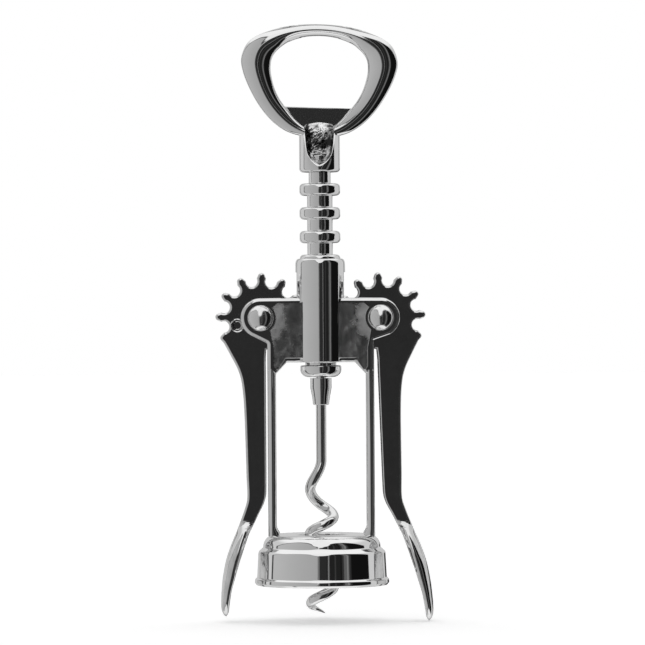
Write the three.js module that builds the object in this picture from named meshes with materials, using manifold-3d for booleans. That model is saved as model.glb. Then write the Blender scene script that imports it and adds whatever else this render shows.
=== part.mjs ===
// Lever corkscrew: two geared arms raise a ringed rack that turns in a cast frame.
// Millimetres, +Z up along the screw axis, +X to the right, front towards -Y.
// The origin is the middle of the bell's mouth, where the bottle's neck comes in.
import * as THREE from 'three';
import { mergeVertices } from 'three/addons/utils/BufferGeometryUtils.js';
import Module from 'manifold-3d';

const wasm = await Module();
wasm.setup();

// ---------------------------------------------------------------- driving dimensions

const FIT = 0.3; // running gap between neighbouring pieces

// Gears and rack: the levers' teeth lie on a 12-tooth circle.
const RACK_PITCH = 6.87;
const TEETH_PER_TURN = 12;
const TOOTH_STEP = 360 / TEETH_PER_TURN;
const TOOTH_TIP_RADIUS = 13.05;
const TOOTH_TIP_HALF = 1.02;
const VALLEY_CENTRE_RADIUS = 11.0;
const VALLEY_RADIUS = 1.7;
const ROOT_RADIUS = VALLEY_CENTRE_RADIUS - VALLEY_RADIUS;
const FIRST_TOOTH = -91.7; // degrees from straight up, positive away from the rack
const TOOTH_COUNT = 7;
const RING_RADIUS = 5.9;
const RING_HALF_HEIGHT = 1.8;
const RING_CORNER = 0.8;
const RING_COUNT = 7;
const TOP_RING_Z = 114.55;

// Frame: barrel, lug plates and legs.
const PIVOT_X = 17.4;
const PIVOT_Z = 77.4;
const BARREL_RADIUS = 7.3;
const BARREL_BORE = RING_RADIUS + FIT;
const BARREL_BOTTOM = 64.5;
const BARREL_TOP = 95.0;
const BARREL_SHOULDER = 1.4;
const LEVER_HALF_THICKNESS = 2.0;
const SLOT_HALF_WIDTH = LEVER_HALF_THICKNESS + FIT;
const PLATE_HALF_DEPTH = 4.1;
const PLATE_TOP = 83.2;
const LUG_RADIUS = 5.7;
const GEAR_WINDOW_BOTTOM = 67.5;
const GEAR_WINDOW_TOP = 88.6;
const LEG_OUTER = 15.45;
const LEG_WIDTH = 2.4;
const LEG_SPLIT_Z = 63.9; // the levers' slot ends here, and the leg is solid below
const FOOT_INNER = 11.6;
const TENON_INNER = 12.3;
const TENON_OUTER = 13.9;
const TENON_HALF_DEPTH = 2.0;
const TENON_BOTTOM = 12.9;

// Bell.
const BELL_RIM_RADIUS = 19.3;
const BELL_HEIGHT = 15.5;
const BELL_WALL = 1.2;
const BELL_HOLE = 6.4;
const BELL_INNER_RADIUS = 17.2;

// Pivot rivets.
const RIVET_SHANK = 2.0;
const RIVET_HEAD_RADIUS = 3.9;
const RIVET_HEAD_HEIGHT = 1.9;
const RIVET_TAIL = 5.0;
const RECESS_RADIUS = 4.7;
const RECESS_DEPTH = 0.3;
const RIGHT_LEVER_TILT = THREE.MathUtils.degToRad(2); // the right arm hangs a little wider

// Spindle, collar, ferrule and worm.
const STEM_RADIUS = 3.7;
const NECK_RADIUS = 3.2;
const SPINDLE_BOTTOM = 65.0;
const SPINDLE_TOP = 124.5;
const COLLAR_RADIUS = 5.95;
const COLLAR_BOTTOM = 60.2;
const COLLAR_TOP = 64.7;
const FERRULE_RADIUS = 3.1;
const FERRULE_BOTTOM = 52.1;
const WIRE_RADIUS = 1.5;
const WIRE_TOP = 72.0;
const WORM_RADIUS = 3.45; // of the wire's centre line
const WORM_PITCH = 10.1;
const WORM_STRAIGHT_END = 36.3; // the shank leaves the axis here
const WORM_FULL_RADIUS_Z = 27.0;
const WORM_RIGHT_Z = 19.75; // a height where the full helix passes its rightmost point
const WORM_LEAD_IN_TURN = 1.35 * Math.PI; // most that the lead-in can turn above that
const WORM_TIP_Z = -8.4;
const WORM_TIP_TAPER = 15;

// Opener handle.
const HANDLE_HALF_THICKNESS = 3.2;
const HANDLE_LEAN = THREE.MathUtils.degToRad(-2);
const HANDLE_CENTRE_Z = 148;
const BLOCK_BOTTOM = 119.6;
const BLOCK_TOP = 132;
const BLOCK_RADIUS = 5.9;
const LIP_Z = 138.3;
const PIN_RADIUS = 1.0;
const PIN_Z = 122.2;

const CHROME = { color: 0xd4d6d8, roughness: 0.12, metalness: 1 };
const CAST_CHROME = { color: 0xb4b6b8, roughness: 0.25, metalness: 1 };
const STEEL = { color: 0xa8aaac, roughness: 0.3, metalness: 1 };
const PLASTIC = { color: 0xe6e4de, roughness: 0.55, metalness: 0 };

// ---------------------------------------------------------------- geometry helpers

const toRadians = THREE.MathUtils.degToRad;

// A closed three.js geometry as a solid that can be joined and cut.
function solid(geometry) {
  const bare = geometry.clone();
  bare.deleteAttribute('normal');
  bare.deleteAttribute('uv');
  const merged = mergeVertices(bare, 1e-4);
  const corners = merged.index.array;
  const triangles = [];
  for (let i = 0; i < corners.length; i += 3) {
    const [a, b, c] = [corners[i], corners[i + 1], corners[i + 2]];
    if (a !== b && b !== c && c !== a) triangles.push(a, b, c);
  }
  const mesh = new wasm.Mesh({
    numProp: 3,
    vertProperties: Float32Array.from(merged.attributes.position.array),
    triVerts: Uint32Array.from(triangles),
  });
  return new wasm.Manifold(mesh);
}

// A finished solid as a named mesh.
function piece(name, body, finish) {
  const { vertProperties, triVerts } = body.getMesh();
  const geometry = new THREE.BufferGeometry();
  geometry.setAttribute('position', new THREE.BufferAttribute(vertProperties, 3));
  geometry.setIndex(new THREE.BufferAttribute(triVerts, 1));
  geometry.computeVertexNormals();
  const mesh = new THREE.Mesh(geometry, new THREE.MeshStandardMaterial(finish));
  mesh.name = name;
  return mesh;
}

// An outline in X and Z, given thickness between two Y planes.
function plate(shape, yFrom, yTo, options = {}) {
  const settings = { depth: yTo - yFrom, bevelEnabled: false, curveSegments: 8, ...options };
  const geometry = new THREE.ExtrudeGeometry(shape, settings);
  geometry.rotateX(Math.PI / 2);
  geometry.translate(0, yTo, 0);
  return solid(geometry);
}

// An outline in Y and Z, given thickness between two X planes.
function sidePlate(shape, xFrom, xTo) {
  const settings = { depth: xTo - xFrom, bevelEnabled: false, curveSegments: 8 };
  const geometry = new THREE.ExtrudeGeometry(shape, settings);
  const turn = new THREE.Matrix4().makeBasis(
    new THREE.Vector3(0, 1, 0),
    new THREE.Vector3(0, 0, 1),
    new THREE.Vector3(1, 0, 0),
  );
  geometry.applyMatrix4(turn);
  geometry.translate(xFrom, 0, 0);
  return solid(geometry);
}

// A radius and height profile turned about Z, listed counter-clockwise.
function turned(profile, segments = 32) {
  const geometry = new THREE.LatheGeometry(profile.map(([r, z]) => new THREE.Vector2(r, z)), segments);
  geometry.rotateX(Math.PI / 2);
  return solid(geometry);
}

// A profile turned about a line along Y through (x, z); its heights run towards -Y.
function turnedAlongY(profile, x, z, segments = 20) {
  const geometry = new THREE.LatheGeometry(profile.map(([r, h]) => new THREE.Vector2(r, h)), segments);
  geometry.rotateX(Math.PI);
  geometry.translate(x, 0, z);
  return solid(geometry);
}

function box(x1, x2, y1, y2, z1, z2) {
  const geometry = new THREE.BoxGeometry(x2 - x1, y2 - y1, z2 - z1);
  geometry.translate((x1 + x2) / 2, (y1 + y2) / 2, (z1 + z2) / 2);
  return solid(geometry);
}

function polygon(points) {
  return new THREE.Shape(points.map(([a, b]) => new THREE.Vector2(a, b)));
}

// Points of a round corner in a profile, from one angle to another in degrees.
function corner(r, z, radius, from, to, steps = 3) {
  return Array.from({ length: steps + 1 }, (_, i) => {
    const angle = toRadians(from + ((to - from) * i) / steps);
    return [r + radius * Math.cos(angle), z + radius * Math.sin(angle)];
  });
}

// A smooth run of points through a few chosen ones.
function smooth(points, count) {
  const curve = new THREE.SplineCurve(points.map(([a, b]) => new THREE.Vector2(a, b)));
  return curve.getPoints(count).map((point) => [point.x, point.y]);
}

// ---------------------------------------------------------------- frame casting

// Front view of one side's lug plate, from the barrel out to the pivot and down to the leg.
function lugOutline(side) {
  const legInner = LEG_OUTER - LEG_WIDTH;
  const points = [
    [BARREL_RADIUS - 1.5, PLATE_TOP],
    ...corner(PIVOT_X, PIVOT_Z, LUG_RADIUS, 90, -55, 10),
    [LEG_OUTER + 0.6, PIVOT_Z - 6.2],
    [LEG_OUTER, PIVOT_Z - 7.4],
    [LEG_OUTER, LEG_SPLIT_Z - 4],
    [legInner, LEG_SPLIT_Z - 4],
    [legInner, BARREL_BOTTOM - 3.4],
    [legInner - 3.2, BARREL_BOTTOM],
    [BARREL_RADIUS - 1.5, BARREL_BOTTOM],
  ];
  return polygon(points.map(([x, z]) => [side * x, z]));
}

// A leg with its flared foot, which stands on the bell.
function legOutline(side) {
  const legInner = LEG_OUTER - LEG_WIDTH;
  const points = [
    [LEG_OUTER, LEG_SPLIT_Z],
    [LEG_OUTER, BELL_HEIGHT],
    [FOOT_INNER, BELL_HEIGHT],
    ...smooth([[FOOT_INNER, BELL_HEIGHT + 0.4], [legInner - 0.5, BELL_HEIGHT + 1.2], [legInner, BELL_HEIGHT + 3]], 3),
    [legInner, LEG_SPLIT_Z],
  ];
  return polygon(points.map(([x, z]) => [side * x, z]));
}

function frameCasting() {
  let body = turned([
    [0, BARREL_BOTTOM],
    [BARREL_RADIUS, BARREL_BOTTOM],
    ...corner(BARREL_RADIUS - BARREL_SHOULDER, BARREL_TOP - BARREL_SHOULDER, BARREL_SHOULDER, 0, 90),
    [0, BARREL_TOP],
  ], 40);
  const far = PIVOT_X + LUG_RADIUS + 1;
  for (const side of [-1, 1]) {
    const [near, away] = [side * (BARREL_BORE - 1), side * far].sort((a, b) => a - b);
    const [tenonNear, tenonFar] = [side * TENON_INNER, side * TENON_OUTER].sort((a, b) => a - b);
    const leg = plate(legOutline(side), -PLATE_HALF_DEPTH, PLATE_HALF_DEPTH);
    const lug = plate(lugOutline(side), -PLATE_HALF_DEPTH, PLATE_HALF_DEPTH);
    const tenon = box(
      tenonNear, tenonFar, -TENON_HALF_DEPTH, TENON_HALF_DEPTH, TENON_BOTTOM, BELL_HEIGHT + 0.5,
    );
    const leverSlot = box(near, away, -SLOT_HALF_WIDTH, SLOT_HALF_WIDTH, LEG_SPLIT_Z, GEAR_WINDOW_BOTTOM);
    const gearWindow = box(near, away, -SLOT_HALF_WIDTH, SLOT_HALF_WIDTH, GEAR_WINDOW_BOTTOM, GEAR_WINDOW_TOP);
    const slotOutsideBarrel = leverSlot.subtract(turned([
      [0, BARREL_BOTTOM],
      [BARREL_RADIUS, BARREL_BOTTOM],
      [BARREL_RADIUS, GEAR_WINDOW_BOTTOM],
      [0, GEAR_WINDOW_BOTTOM],
    ], 40));
    const rivetHole = turnedAlongY([
      [0, -PLATE_HALF_DEPTH - 1],
      [RIVET_SHANK + FIT, -PLATE_HALF_DEPTH - 1],
      [RIVET_SHANK + FIT, PLATE_HALF_DEPTH - RECESS_DEPTH],
      [RECESS_RADIUS, PLATE_HALF_DEPTH - RECESS_DEPTH],
      [RECESS_RADIUS, PLATE_HALF_DEPTH + 1],
      [0, PLATE_HALF_DEPTH + 1],
    ], side * PIVOT_X, PIVOT_Z);
    body = body.add(leg).add(lug).add(tenon);
    body = body.subtract(slotOutsideBarrel).subtract(gearWindow).subtract(rivetHole);
  }
  const bore = turned([
    [0, BARREL_BOTTOM - 1],
    [BARREL_BORE, BARREL_BOTTOM - 1],
    [BARREL_BORE, BARREL_TOP + 1],
    [0, BARREL_TOP + 1],
  ], 40);
  return piece('frame_casting', body.subtract(bore), CAST_CHROME);
}

// ---------------------------------------------------------------- bell and liner

function bell() {
  const shoulder = 2.2;
  const inside = BELL_INNER_RADIUS;
  const body = turned([
    [inside, 0],
    [BELL_RIM_RADIUS - 0.4, 0],
    ...corner(BELL_RIM_RADIUS - 0.8, 1.1, 0.8, -60, 60),
    [18.75, 2.5],
    [18.55, 6.5],
    [18.1, 9.8],
    [17.35, 10.7],
    [16.9, 12.6],
    ...corner(16.5 - shoulder, BELL_HEIGHT - shoulder, shoulder, 15, 90, 3),
    [BELL_HOLE, BELL_HEIGHT],
    [BELL_HOLE, BELL_HEIGHT - BELL_WALL],
    [14.7, BELL_HEIGHT - BELL_WALL],
    [15.8, 12.2],
    [16.7, 9.8],
    [inside, 6.5],
    [inside, 0],
  ], 44);
  const slots = [-1, 1].map((side) => {
    const [near, far] = [side * (TENON_INNER - FIT), side * (TENON_OUTER + FIT)].sort((a, b) => a - b);
    const depth = TENON_HALF_DEPTH + FIT;
    return box(near, far, -depth, depth, BELL_HEIGHT - 2 * BELL_WALL, BELL_HEIGHT + 1);
  });
  return piece('bell', body.subtract(slots[0]).subtract(slots[1]), CHROME);
}

// Ring pressed into the bell: its web stops the bottle's mouth and centres the worm.
function bellLiner() {
  const outside = BELL_INNER_RADIUS - FIT;
  const body = turned([
    [outside - 1.4, 0.8],
    [outside, 0.8],
    [outside, 6.4],
    [outside - 0.5, 9.4],
    [12.6, 9.4],
    [12.6, 8.2],
    [outside - 1.4, 8.2],
    [outside - 1.4, 0.8],
  ]);
  return piece('bell_liner', body, PLASTIC);
}

// ---------------------------------------------------------------- pivot rivets

// Domed head at the front, with a shank that ends inside the rear cap.
function pivotRivet(name, x) {
  const seat = PLATE_HALF_DEPTH - RECESS_DEPTH;
  const body = turnedAlongY([
    [0, -RIVET_TAIL],
    [RIVET_SHANK, -RIVET_TAIL],
    [RIVET_SHANK, seat],
    [RIVET_HEAD_RADIUS, seat],
    [RIVET_HEAD_RADIUS, seat + 0.5],
    ...smooth([
      [RIVET_HEAD_RADIUS - 0.1, seat + 0.8],
      [RIVET_HEAD_RADIUS * 0.72, seat + RIVET_HEAD_HEIGHT * 0.78],
      [0, seat + RIVET_HEAD_HEIGHT],
    ], 6),
  ], x, PIVOT_Z);
  return piece(name, body, CHROME);
}

function rivetCap(name, x) {
  const back = RIVET_TAIL + FIT;
  const seat = PLATE_HALF_DEPTH;
  const body = turnedAlongY([
    [0, -back - 1],
    [RIVET_HEAD_RADIUS * 0.6, -back - 0.7],
    [RIVET_HEAD_RADIUS - 0.2, -back + 0.1],
    [RIVET_HEAD_RADIUS, -seat - 0.5],
    [RIVET_HEAD_RADIUS, -seat],
    [RIVET_SHANK + FIT, -seat],
    [RIVET_SHANK + FIT, -back],
    [0, -back],
  ], x, PIVOT_Z);
  return piece(name, body, CHROME);
}

// ---------------------------------------------------------------- levers

// A point at a radius and an angle from straight up, about the pivot.
function polar(radius, degrees) {
  const angle = toRadians(degrees);
  return [radius * Math.sin(angle), radius * Math.cos(angle)];
}

// Tooth tip with clipped corners, and the round valley that follows it.
function toothAndValley(degrees) {
  const valley = degrees + TOOTH_STEP / 2;
  const [centreX, centreZ] = polar(VALLEY_CENTRE_RADIUS, valley);
  const clip = 0.35;
  const along = (half, radius) => polar(radius, degrees + THREE.MathUtils.radToDeg(half / radius));
  const tip = [
    along(-TOOTH_TIP_HALF - 0.05, TOOTH_TIP_RADIUS - clip),
    along(-TOOTH_TIP_HALF + clip, TOOTH_TIP_RADIUS),
    along(TOOTH_TIP_HALF - clip, TOOTH_TIP_RADIUS),
    along(TOOTH_TIP_HALF + 0.05, TOOTH_TIP_RADIUS - clip),
  ];
  const bottom = corner(centreX, centreZ, VALLEY_RADIUS, 180 - valley, 360 - valley, 7);
  return [...tip, ...bottom];
}

// Front view of the lever's flat part, outward along +X, with its pivot at the origin.
function leverOutline() {
  const armInner = LEG_OUTER + 0.5 - PIVOT_X;
  const teeth = Array.from({ length: TOOTH_COUNT }, (_, i) => toothAndValley(FIRST_TOOTH + i * TOOTH_STEP));
  const outerEdge = smooth([
    [11.5, -5.9], [8.8, -10.6], [6.5, -15.2], [5.4, -19.8], [4.9, -30], [4.6, -52.9],
  ], 14);
  const underGear = corner(0, 0, ROOT_RADIUS, -98, -168, 7);
  return [...teeth.flat(), ...outerEdge, [armInner, -52.9], [armInner, -10.6], ...underGear];
}

// Side view of the blade below the bend: outer face down to the tip, inner face back up.
function bladeOutline() {
  return [
    ...smooth([[4.6, -51], [5.4, -55.8], [7.7, -62.8], [10.3, -69.7], [11.7, -76.7], [12.0, -83.6]], 12),
    ...smooth([[11.5, -86], [10.6, -86.6], [9.7, -86]], 3),
    ...smooth([[9.1, -83.6], [7.4, -76.7], [5.4, -69.7], [3.0, -62.8], [-0.4, -55.8], [-1.45, -51]], 12),
  ];
}

// Face view of the blade: it widens from the flat arm into a paddle with a round end.
function paddleOutline() {
  const half = smooth([
    [LEVER_HALF_THICKNESS, -50], [3.4, -54], [5.6, -59], [6.8, -66], [6.9, -74], [6.0, -81], [3.6, -85.6], [0, -87],
  ], 16);
  const other = half.slice(0, -1).reverse().map(([y, z]) => [-y, z]);
  return polygon([...half, ...other]);
}

function lever(name, side) {
  const facing = (points) => polygon(points.map(([x, z]) => [side * x, z]));
  const flat = plate(facing(leverOutline()), -LEVER_HALF_THICKNESS, LEVER_HALF_THICKNESS);
  const blade = plate(facing(bladeOutline()), -8, 8).intersect(sidePlate(paddleOutline(), -20, 20));
  const rivetHole = turnedAlongY([[0, -5], [RIVET_SHANK + FIT, -5], [RIVET_SHANK + FIT, 5], [0, 5]], 0, 0);
  const mesh = piece(name, flat.add(blade).subtract(rivetHole), CHROME);
  const pivot = new THREE.Group();
  pivot.position.set(side * PIVOT_X, 0, PIVOT_Z);
  pivot.add(mesh);
  return pivot;
}

// ---------------------------------------------------------------- spindle, collar and ferrule

function rackSpindle() {
  const rings = [];
  for (let i = RING_COUNT - 1; i >= 0; i -= 1) {
    const z = TOP_RING_Z - i * RACK_PITCH;
    const edge = RING_RADIUS - RING_CORNER;
    const flat = RING_HALF_HEIGHT - RING_CORNER;
    rings.push(
      [STEM_RADIUS, z - RING_HALF_HEIGHT],
      ...corner(edge, z - flat, RING_CORNER, -90, 0, 2),
      ...corner(edge, z + flat, RING_CORNER, 0, 90, 2),
      [i === 0 ? NECK_RADIUS : STEM_RADIUS, z + RING_HALF_HEIGHT],
    );
  }
  const body = turned([
    [WIRE_RADIUS + FIT, SPINDLE_BOTTOM],
    [STEM_RADIUS, SPINDLE_BOTTOM],
    ...rings,
    [NECK_RADIUS, SPINDLE_TOP],
    [0, SPINDLE_TOP],
    [0, WIRE_TOP + FIT],
    [WIRE_RADIUS + FIT, WIRE_TOP + FIT],
    [WIRE_RADIUS + FIT, SPINDLE_BOTTOM],
  ], 24);
  return piece('rack_spindle', body.subtract(pinHole()), CHROME);
}

function stopCollar() {
  const edge = 0.8;
  const body = turned([
    [WIRE_RADIUS + FIT, COLLAR_BOTTOM],
    ...corner(COLLAR_RADIUS - edge, COLLAR_BOTTOM + edge, edge, -90, 0),
    [COLLAR_RADIUS, COLLAR_TOP - 0.3],
    [COLLAR_RADIUS - 0.3, COLLAR_TOP],
    [WIRE_RADIUS + FIT, COLLAR_TOP],
    [WIRE_RADIUS + FIT, COLLAR_BOTTOM],
  ], 36);
  return piece('stop_collar', body, CHROME);
}

function wormFerrule() {
  const edge = 1.0;
  const top = COLLAR_BOTTOM - FIT;
  const body = turned([
    [WIRE_RADIUS + FIT, FERRULE_BOTTOM],
    ...corner(FERRULE_RADIUS - edge, FERRULE_BOTTOM + edge, edge, -90, 0),
    [FERRULE_RADIUS, top],
    [WIRE_RADIUS + FIT, top],
    [WIRE_RADIUS + FIT, FERRULE_BOTTOM],
  ], 24);
  return piece('worm_ferrule', body, CHROME);
}

// ---------------------------------------------------------------- worm

// Straight shank on the axis, then a right-handed helix down to the point.
class WormLine extends THREE.Curve {
  getPoint(t, target = new THREE.Vector3()) {
    const z = WIRE_TOP + (WORM_TIP_Z - WIRE_TOP) * t;
    const lead = WORM_STRAIGHT_END - WORM_FULL_RADIUS_Z;
    const spread = THREE.MathUtils.smoothstep(WORM_STRAIGHT_END - z, 0, lead);
    const turn = (2 * Math.PI * (z - WORM_RIGHT_Z)) / WORM_PITCH;
    const angle = turn < 0 ? turn : WORM_LEAD_IN_TURN * (1 - Math.exp(-turn / WORM_LEAD_IN_TURN));
    const radius = WORM_RADIUS * spread;
    return target.set(radius * Math.cos(angle), radius * Math.sin(angle), z);
  }
}

function worm() {
  const line = new WormLine();
  line.arcLengthDivisions = 800;
  const section = new THREE.Shape().absarc(0, 0, WIRE_RADIUS, 0, 2 * Math.PI);
  const geometry = new THREE.ExtrudeGeometry(section, { steps: 76, extrudePath: line, curveSegments: 5 });
  const total = line.getLength();
  const samples = line.getSpacedPoints(800);
  const position = geometry.attributes.position;
  const vertex = new THREE.Vector3();
  for (let i = 0; i < position.count; i += 1) {
    vertex.fromBufferAttribute(position, i);
    const nearest = samples.reduce((best, point, k) => {
      const gap = point.distanceToSquared(vertex);
      return gap < best.gap ? { gap, k } : best;
    }, { gap: Infinity, k: 0 }).k;
    const left = total * (1 - nearest / (samples.length - 1));
    const slim = Math.max(0.08, Math.min(1, left / WORM_TIP_TAPER));
    vertex.sub(samples[nearest]).multiplyScalar(slim).add(samples[nearest]);
    position.setXYZ(i, vertex.x, vertex.y, vertex.z);
  }
  return piece('worm', solid(geometry), STEEL);
}

// ---------------------------------------------------------------- opener handle

// Right half of the loop's outer edge, top to bottom.
const LOOP_OUTER = [
  [0, 162.5], [7.4, 162.0], [14.4, 160.3], [20.3, 157.2], [22.6, 152.6], [22.2, 148.4],
  [19.9, 143.0], [16.5, 137.6], [12.4, 133.4], [7.4, 130.7],
];

// Right half of the hole's edge, top down to the lip.
const LOOP_INNER = [
  [0, 159.1], [5.2, 158.5], [10.0, 156.6], [13.3, 153.4], [14.1, 149.6], [13.2, 144.8], [11.6, 141.1], [9.4, LIP_Z],
];

function mirrored(half, count) {
  const run = smooth(half, count);
  const other = run.slice(1).reverse().map(([x, z]) => [-x, z]);
  return [...other, ...run];
}

function openerHandle() {
  const bevel = 1.2;
  const shape = polygon(mirrored(LOOP_OUTER.map(([x, z]) => [Math.max(0, x - bevel * 0.8), z]), 18));
  const thickness = 2 * (HANDLE_HALF_THICKNESS - bevel);
  const rounding = { bevelEnabled: true, bevelThickness: bevel, bevelSize: bevel, bevelSegments: 2 };
  let body = plate(shape, -thickness / 2, thickness / 2, rounding);
  const hole = plate(polygon(mirrored(LOOP_INNER, 16)), -8, 8);
  const lipWedge = sidePlate(polygon([
    [-HANDLE_HALF_THICKNESS - 1, 133.6],
    [-HANDLE_HALF_THICKNESS, 134.2],
    [-0.9, LIP_Z + 1],
    [-HANDLE_HALF_THICKNESS - 1, LIP_Z + 1],
  ]), -9.2, 9.2);
  body = body.subtract(hole).subtract(lipWedge);
  const lean = THREE.MathUtils.radToDeg(HANDLE_LEAN);
  body = body.translate([0, 0, -HANDLE_CENTRE_Z]).rotate([0, -lean, 0]).translate([0, 0, HANDLE_CENTRE_Z]);
  const edge = 0.9;
  const block = turned([
    [0, BLOCK_BOTTOM],
    ...corner(BLOCK_RADIUS - edge, BLOCK_BOTTOM + edge, edge, -90, 0),
    [BLOCK_RADIUS, BLOCK_TOP],
    [0, BLOCK_TOP],
  ], 36);
  const scoop = new THREE.SphereGeometry(1, 24, 16);
  scoop.scale(4.8, 3.6, 10.6);
  scoop.translate(0, -6.9, 132.6);
  const socket = turned([
    [0, BLOCK_BOTTOM - 1],
    [NECK_RADIUS + FIT, BLOCK_BOTTOM - 1],
    [NECK_RADIUS + FIT, SPINDLE_TOP + FIT],
    [0, SPINDLE_TOP + FIT],
  ], 28);
  body = body.add(block).subtract(solid(scoop)).subtract(socket).subtract(pinHole());
  return piece('opener_handle', body, CHROME);
}

// Blind hole from the back, through the block and the top of the spindle.
function pinHole() {
  const radius = PIN_RADIUS + FIT;
  const end = -BLOCK_RADIUS - 1;
  return turnedAlongY([[0, end], [radius, end], [radius, NECK_RADIUS - 1], [0, NECK_RADIUS - 1]], 0, PIN_Z, 16);
}

function handlePin() {
  const end = NECK_RADIUS - 1 - FIT;
  const start = -BLOCK_RADIUS + 0.2;
  const profile = [[0, start], [PIN_RADIUS, start], [PIN_RADIUS, end], [0, end]];
  return piece('handle_pin', turnedAlongY(profile, 0, PIN_Z, 16), STEEL);
}

// ---------------------------------------------------------------- assembly

const corkscrew = new THREE.Group();
corkscrew.add(frameCasting(), bell(), bellLiner());
for (const [sideName, side] of [['left', -1], ['right', 1]]) {
  corkscrew.add(pivotRivet(`${sideName}_pivot_rivet`, side * PIVOT_X));
  corkscrew.add(rivetCap(`${sideName}_rivet_cap`, side * PIVOT_X));
}
const leftLever = lever('left_lever', -1);
const rightLever = lever('right_lever', 1);
rightLever.rotation.y = -RIGHT_LEVER_TILT;
corkscrew.add(leftLever, rightLever, stopCollar());
corkscrew.add(openerHandle(), rackSpindle(), handlePin(), wormFerrule(), worm());

export default corkscrew;
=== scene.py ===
"""Lever corkscrew: the chrome-plated pieces, their materials, the studio and the camera."""
import math

import bmesh
import bpy
from mathutils import Matrix, Vector

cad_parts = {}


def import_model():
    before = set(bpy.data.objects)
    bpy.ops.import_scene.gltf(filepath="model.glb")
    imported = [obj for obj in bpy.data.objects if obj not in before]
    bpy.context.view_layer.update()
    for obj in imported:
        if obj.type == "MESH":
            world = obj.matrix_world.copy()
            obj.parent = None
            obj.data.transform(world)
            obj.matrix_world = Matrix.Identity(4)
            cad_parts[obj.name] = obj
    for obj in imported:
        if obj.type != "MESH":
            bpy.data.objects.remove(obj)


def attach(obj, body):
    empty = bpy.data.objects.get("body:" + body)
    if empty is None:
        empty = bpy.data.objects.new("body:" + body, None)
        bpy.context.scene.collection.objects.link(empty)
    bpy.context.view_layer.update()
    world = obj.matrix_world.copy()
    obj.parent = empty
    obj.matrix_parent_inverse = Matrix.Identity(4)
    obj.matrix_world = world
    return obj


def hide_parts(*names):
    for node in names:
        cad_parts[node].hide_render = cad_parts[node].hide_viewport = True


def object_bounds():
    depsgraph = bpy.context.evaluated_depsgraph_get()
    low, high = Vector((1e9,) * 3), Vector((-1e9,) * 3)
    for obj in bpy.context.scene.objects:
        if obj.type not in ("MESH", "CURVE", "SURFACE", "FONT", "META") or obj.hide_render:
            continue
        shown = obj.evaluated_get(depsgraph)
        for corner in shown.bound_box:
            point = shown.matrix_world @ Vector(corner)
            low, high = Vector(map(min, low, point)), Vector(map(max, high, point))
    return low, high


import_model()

CAD_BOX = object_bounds()

# All shapes below are in millimetres, and become metres when a mesh is made.
MM = 0.001

# ---------- dimensions

# The levers' pivots, left and right of the worm's axis.
PIVOT_X = 17.4
PIVOT_Z = 77.4
PIVOT = (PIVOT_X, PIVOT_Z)
RIGHT_LEVER_TILT = math.radians(2)

# The ringed rack.
RACK_PITCH = 6.87
RING_RADIUS = 5.9
RING_HALF_HEIGHT = 1.75
RING_CORNER = 1.15
TOP_RING_Z = 114.55
RING_COUNT = 7
STEM_RADIUS = 3.7
STEM_BOTTOM = 65.0
NECK_RADIUS = 3.2
RACK_TOP = 124.5

# The frame casting: a barrel, two lugs and two legs.
BARREL_RADIUS = 7.2
BARREL_BORE = 6.2
BARREL_BOTTOM = 64.5
BARREL_TOP = 94.5
PLATE_FRONT = 4.1
PLATE_BACK = 2.3
PLATE_TOP = 83.2
WINDOW_TOP = 90.6
WINDOW_BOTTOM = 66.4
WINDOW_INNER = 5.4
LEG_SLOT_INNER = 7.6
SLOT_OUTER = 24
LUG_RADIUS = 5.7
LUG_EDGE = 0.95
FIELD_DEPTH = 0.45
FIELD_RADIUS = 4.4
LEG_OUTER = 15.45
LEG_WIDTH = 2.4
LEG_INNER = LEG_OUTER - LEG_WIDTH

# The pivot rivets.
RIVET_RADIUS = 3.85
RIVET_BALL = 4.45
RIVET_TOP = 6.0
RIVET_SHANK = 2.0
RIVET_HOLE = 2.3
SEAT_DEPTH = 0.35

# The levers, measured from their pivot.
LEVER_HALF = 2.0
LEVER_EDGE = 0.6
TOOTH_STEP = 30
FIRST_TOOTH = -91.7
TOOTH_COUNT = 7
TOOTH_TIP_RADIUS = 13.05
TIP_ROUND = 0.95
VALLEY_CENTRE = 11.0
VALLEY_RADIUS = 1.7
ARM_END = -46.0
BEND = -58.0
BLADE_END = -87.0

# The worm.
WORM_RADIUS = 3.45
WORM_PITCH = 10.1
WIRE_RADIUS = 1.5
WORM_TOP = 72.0
WORM_BOTTOM = -8.4
HELIX_TOP = 36.3
HELIX_LEAD_IN = 9.3
# A height at which the wire stands to the right of the axis.
RIGHT_TURN_Z = 19.75
POINT_LENGTH = 9.5

# The opener handle.
LOOP_CENTRE_Z = 148.0
LOOP_DEPTH = 3.2
HANDLE_LEAN = math.radians(2)
BLOCK_RADIUS = 5.9
BLOCK_BOTTOM = 119.6
LIP_Z = 138.3
WEB_FRONT = -1.15
WEB_BACK = 2.8
PIN_Z = 122.2


# ---------- outlines

def polar(centre, radius, degrees):
    """A point at an angle measured counter-clockwise from the first axis."""
    angle = math.radians(degrees)
    return (centre[0] + radius * math.cos(angle), centre[1] + radius * math.sin(angle))


def arc(centre, radius, start, end, steps):
    """Points on a circle from one angle to another."""
    return [polar(centre, radius, start + (end - start) * i / steps) for i in range(steps + 1)]


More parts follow.
